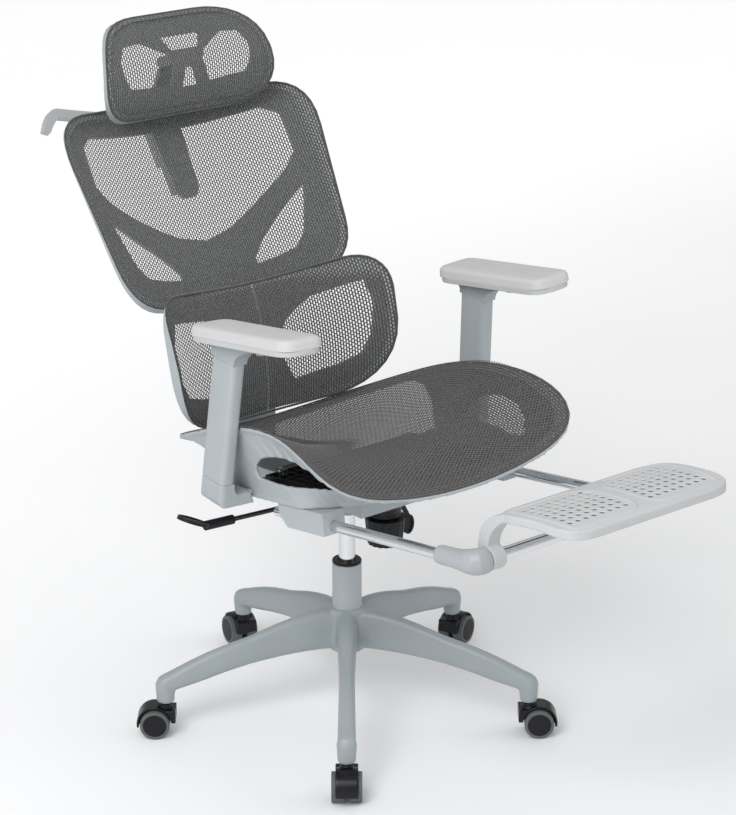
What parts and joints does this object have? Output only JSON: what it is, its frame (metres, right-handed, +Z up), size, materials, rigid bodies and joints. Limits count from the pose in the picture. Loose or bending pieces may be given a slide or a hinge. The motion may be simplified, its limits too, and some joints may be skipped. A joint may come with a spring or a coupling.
{
  "type": "reclining office chair with footrest",
  "caption": "High-backed office chair in woven mesh, with a reclining back, tilting headrest, height-adjustable arms, five-star base and slide-out footrest.",
  "frame": {"origin": "on the floor, under the axis of the gas column", "axes": "+Z up, the chair faces -Y, +X to the sitter's left"},
  "size_m": [0.7137, 1.2887, 1.1342],
  "materials": {
    "grey_plastic": "satin moulded",
    "black_plastic": "satin moulded",
    "hood_plastic": "gloss",
    "tread": "matte",
    "arm_pad_skin": "fine leather grain",
    "woven_mesh": "open weave",
    "chrome_tube": "polished",
    "steel": "plain",
    "black_steel": "powder coated"
  },
  "bodies": {
    "base": {"star_base": "grey_plastic", "column_tube": "grey_plastic", "column_guide": "black_plastic", "caster_stems": "steel"},
    "piston": {"gas_piston": "chrome_tube"},
    "mechanism": {"mechanism_case": "grey_plastic", "tension_spring": "black_steel"},
    "lift_lever": {"lift_lever": "black_steel", "lift_lever_grip": "black_plastic"},
    "lock_lever": {"lock_lever": "black_plastic"},
    "tension_knob": {"tension_knob": "black_plastic"},
    "seat": {"seat_frame": "grey_plastic", "seat_mesh": "woven_mesh", "seat_pan": "black_plastic", "seat_bolts": "steel", "slide_housing_right": "grey_plastic", "slide_housing_left": "grey_plastic", "arm_bracket_right": "grey_plastic", "arm_bracket_left": "grey_plastic", "arm_sleeve_right": "grey_plastic", "arm_sleeve_left": "grey_plastic"},
    "back": {"back_bracket": "grey_plastic", "back_spine": "grey_plastic", "upper_frame": "grey_plastic", "upper_mesh": "woven_mesh", "coat_hanger": "grey_plastic"},
    "lumbar": {"lumbar_frame": "grey_plastic", "lumbar_mesh": "woven_mesh"},
    "headrest_stem": {"headrest_stem": "grey_plastic"},
    "headrest": {"headrest_frame": "grey_plastic", "headrest_mesh": "woven_mesh"},
    "footrest": {"footrest_rod_right": "chrome_tube", "footrest_rod_left": "chrome_tube", "footrest_tube": "chrome_tube", "elbow_right": "grey_plastic", "elbow_left": "grey_plastic"},
    "foot_pad": {"foot_pad": "grey_plastic"},
    "arm_right": {"arm_post_right": "grey_plastic", "arm_pad_base_right": "grey_plastic", "arm_pad_right": "arm_pad_skin"},
    "button_right": {"arm_button_right": "grey_plastic"},
    "arm_left": {"arm_post_left": "grey_plastic", "arm_pad_base_left": "grey_plastic", "arm_pad_left": "arm_pad_skin"},
    "button_left": {"arm_button_left": "grey_plastic"},
    "caster_1": {"caster_hood_1": "hood_plastic"},
    "wheels_1": {"caster_wheels_1": "black_plastic", "caster_tyres_1": "tread"},
    "caster_2": {"caster_hood_2": "hood_plastic"},
    "wheels_2": {"caster_wheels_2": "black_plastic", "caster_tyres_2": "tread"},
    "caster_3": {"caster_hood_3": "hood_plastic"},
    "wheels_3": {"caster_wheels_3": "black_plastic", "caster_tyres_3": "tread"},
    "caster_4": {"caster_hood_4": "hood_plastic"},
    "wheels_4": {"caster_wheels_4": "black_plastic", "caster_tyres_4": "tread"},
    "caster_5": {"caster_hood_5": "hood_plastic"},
    "wheels_5": {"caster_wheels_5": "black_plastic", "caster_tyres_5": "tread"}
  },
  "joints": [
    {"name": "seat_height", "type": "slide", "parent": "base", "child": "piston", "axis": [0, 0, 1], "range_m": [-0.075, 0.02]},
    {"name": "seat_swivel", "type": "hinge", "parent": "piston", "child": "mechanism", "pos_m": [0, 0, 0.4], "axis": [0, 0, 1], "continuous": true},
    {"name": "lift_lever_pull", "type": "hinge", "parent": "mechanism", "child": "lift_lever", "pos_m": [-0.0819, 0.033, 0.398], "axis": [0, 1, 0], "range_deg": [0, 3.5], "stiffness_Nm_per_rad": 6, "springref_deg": -5.73},
    {"name": "tilt_lock", "type": "hinge", "parent": "mechanism", "child": "lock_lever", "pos_m": [0.0819, -0.02, 0.398], "axis": [0, -1, 0], "range_deg": [0, 15]},
    {"name": "tension_turn", "type": "hinge", "parent": "mechanism", "child": "tension_knob", "pos_m": [0, -0.101, 0.365], "axis": [0, 0, 1], "continuous": true},
    {"name": "seat_tilt", "type": "hinge", "parent": "mechanism", "child": "seat", "pos_m": [0, -0.06, 0.43], "axis": [1, 0, 0], "range_deg": [-1.5, 8]},
    {"name": "back_recline", "type": "hinge", "parent": "mechanism", "child": "back", "pos_m": [0, 0.02, 0.424], "axis": [1, 0, 0], "range_deg": [-3.75, 20]},
    {"name": "lumbar_tilt", "type": "hinge", "parent": "back", "child": "lumbar", "pos_m": [0, 0.283, 0.59], "axis": [1, 0, 0], "range_deg": [-5, 5], "stiffness_Nm_per_rad": 60},
    {"name": "headrest_height", "type": "slide", "parent": "back", "child": "headrest_stem", "axis": [0, 0.5548, 0.832], "range_m": [0, 0.045]},
    {"name": "headrest_tilt", "type": "hinge", "parent": "headrest_stem", "child": "headrest", "pos_m": [0, 0.4856, 1.0519], "axis": [1, 0, 0], "range_deg": [-20, 6]},
    {"name": "footrest_slide", "type": "slide", "parent": "seat", "child": "footrest", "axis": [0, 0.9903, -0.1392], "range_m": [0, 0.2]},
    {"name": "foot_pad_fold", "type": "hinge", "parent": "footrest", "child": "foot_pad", "pos_m": [0, -0.53772, 0.49997], "axis": [1, 0, 0], "range_deg": [0, 180]},
    {"name": "arm_height_right", "type": "slide", "parent": "seat", "child": "arm_right", "axis": [0.0577, -0.096, 0.9937], "range_m": [0, 0.07]},
    {"name": "arm_button_right", "type": "slide", "parent": "arm_right", "child": "button_right", "axis": [0.0593, 0.1389, 0.9885], "range_m": [0, 0.003], "stiffness_N_per_m": 800, "springref_m": -0.002},
    {"name": "arm_height_left", "type": "slide", "parent": "seat", "child": "arm_left", "axis": [-0.0577, -0.096, 0.9937], "range_m": [0, 0.07]},
    {"name": "arm_button_left", "type": "slide", "parent": "arm_left", "child": "button_left", "axis": [-0.0593, 0.1389, 0.9885], "range_m": [0, 0.003], "stiffness_N_per_m": 800, "springref_m": -0.002},
    {"name": "caster_swivel_1", "type": "hinge", "parent": "base", "child": "caster_1", "pos_m": [-0.20264, -0.25024, 0.06], "axis": [0, 0, 1], "continuous": true},
    {"name": "wheel_roll_1", "type": "hinge", "parent": "caster_1", "child": "wheels_1", "pos_m": [-0.21397, -0.26423, 0.025], "axis": [0.7771, -0.6293, 0], "continuous": true},
    {"name": "caster_swivel_2", "type": "hinge", "parent": "base", "child": "caster_2", "pos_m": [0.17537, -0.27005, 0.06], "axis": [0, 0, 1], "continuous": true},
    {"name": "wheel_roll_2", "type": "hinge", "parent": "caster_2", "child": "wheels_2", "pos_m": [0.18936, -0.28138, 0.025], "axis": [0.6293, 0.7771, 0], "continuous": true},
    {"name": "caster_swivel_3", "type": "hinge", "parent": "base", "child": "caster_3", "pos_m": [0.31103, 0.08334, 0.06], "axis": [0, 0, 1], "continuous": true},
    {"name": "wheel_roll_3", "type": "hinge", "parent": "caster_3", "child": "wheels_3", "pos_m": [0.32783, 0.08979, 0.025], "axis": [-0.3584, 0.9336, 0], "continuous": true},
    {"name": "caster_swivel_4", "type": "hinge", "parent": "base", "child": "caster_4", "pos_m": [0.01685, 0.32156, 0.06], "axis": [0, 0, 1], "continuous": true},
    {"name": "wheel_roll_4", "type": "hinge", "parent": "caster_4", "child": "wheels_4", "pos_m": [0.0209, 0.3391, 0.025], "axis": [-0.9744, 0.225, 0], "continuous": true},
    {"name": "caster_swivel_5", "type": "hinge", "parent": "base", "child": "caster_5", "pos_m": [-0.30061, 0.11539, 0.06], "axis": [0, 0, 1], "continuous": true},
    {"name": "wheel_roll_5", "type": "hinge", "parent": "caster_5", "child": "wheels_5", "pos_m": [-0.3146, 0.12672, 0.025], "axis": [-0.6293, -0.7771, 0], "continuous": true}
  ],
  "couplings": [
    {"joint": "back_recline", "follows": "seat_tilt", "ratio": 2.5}
  ]
}
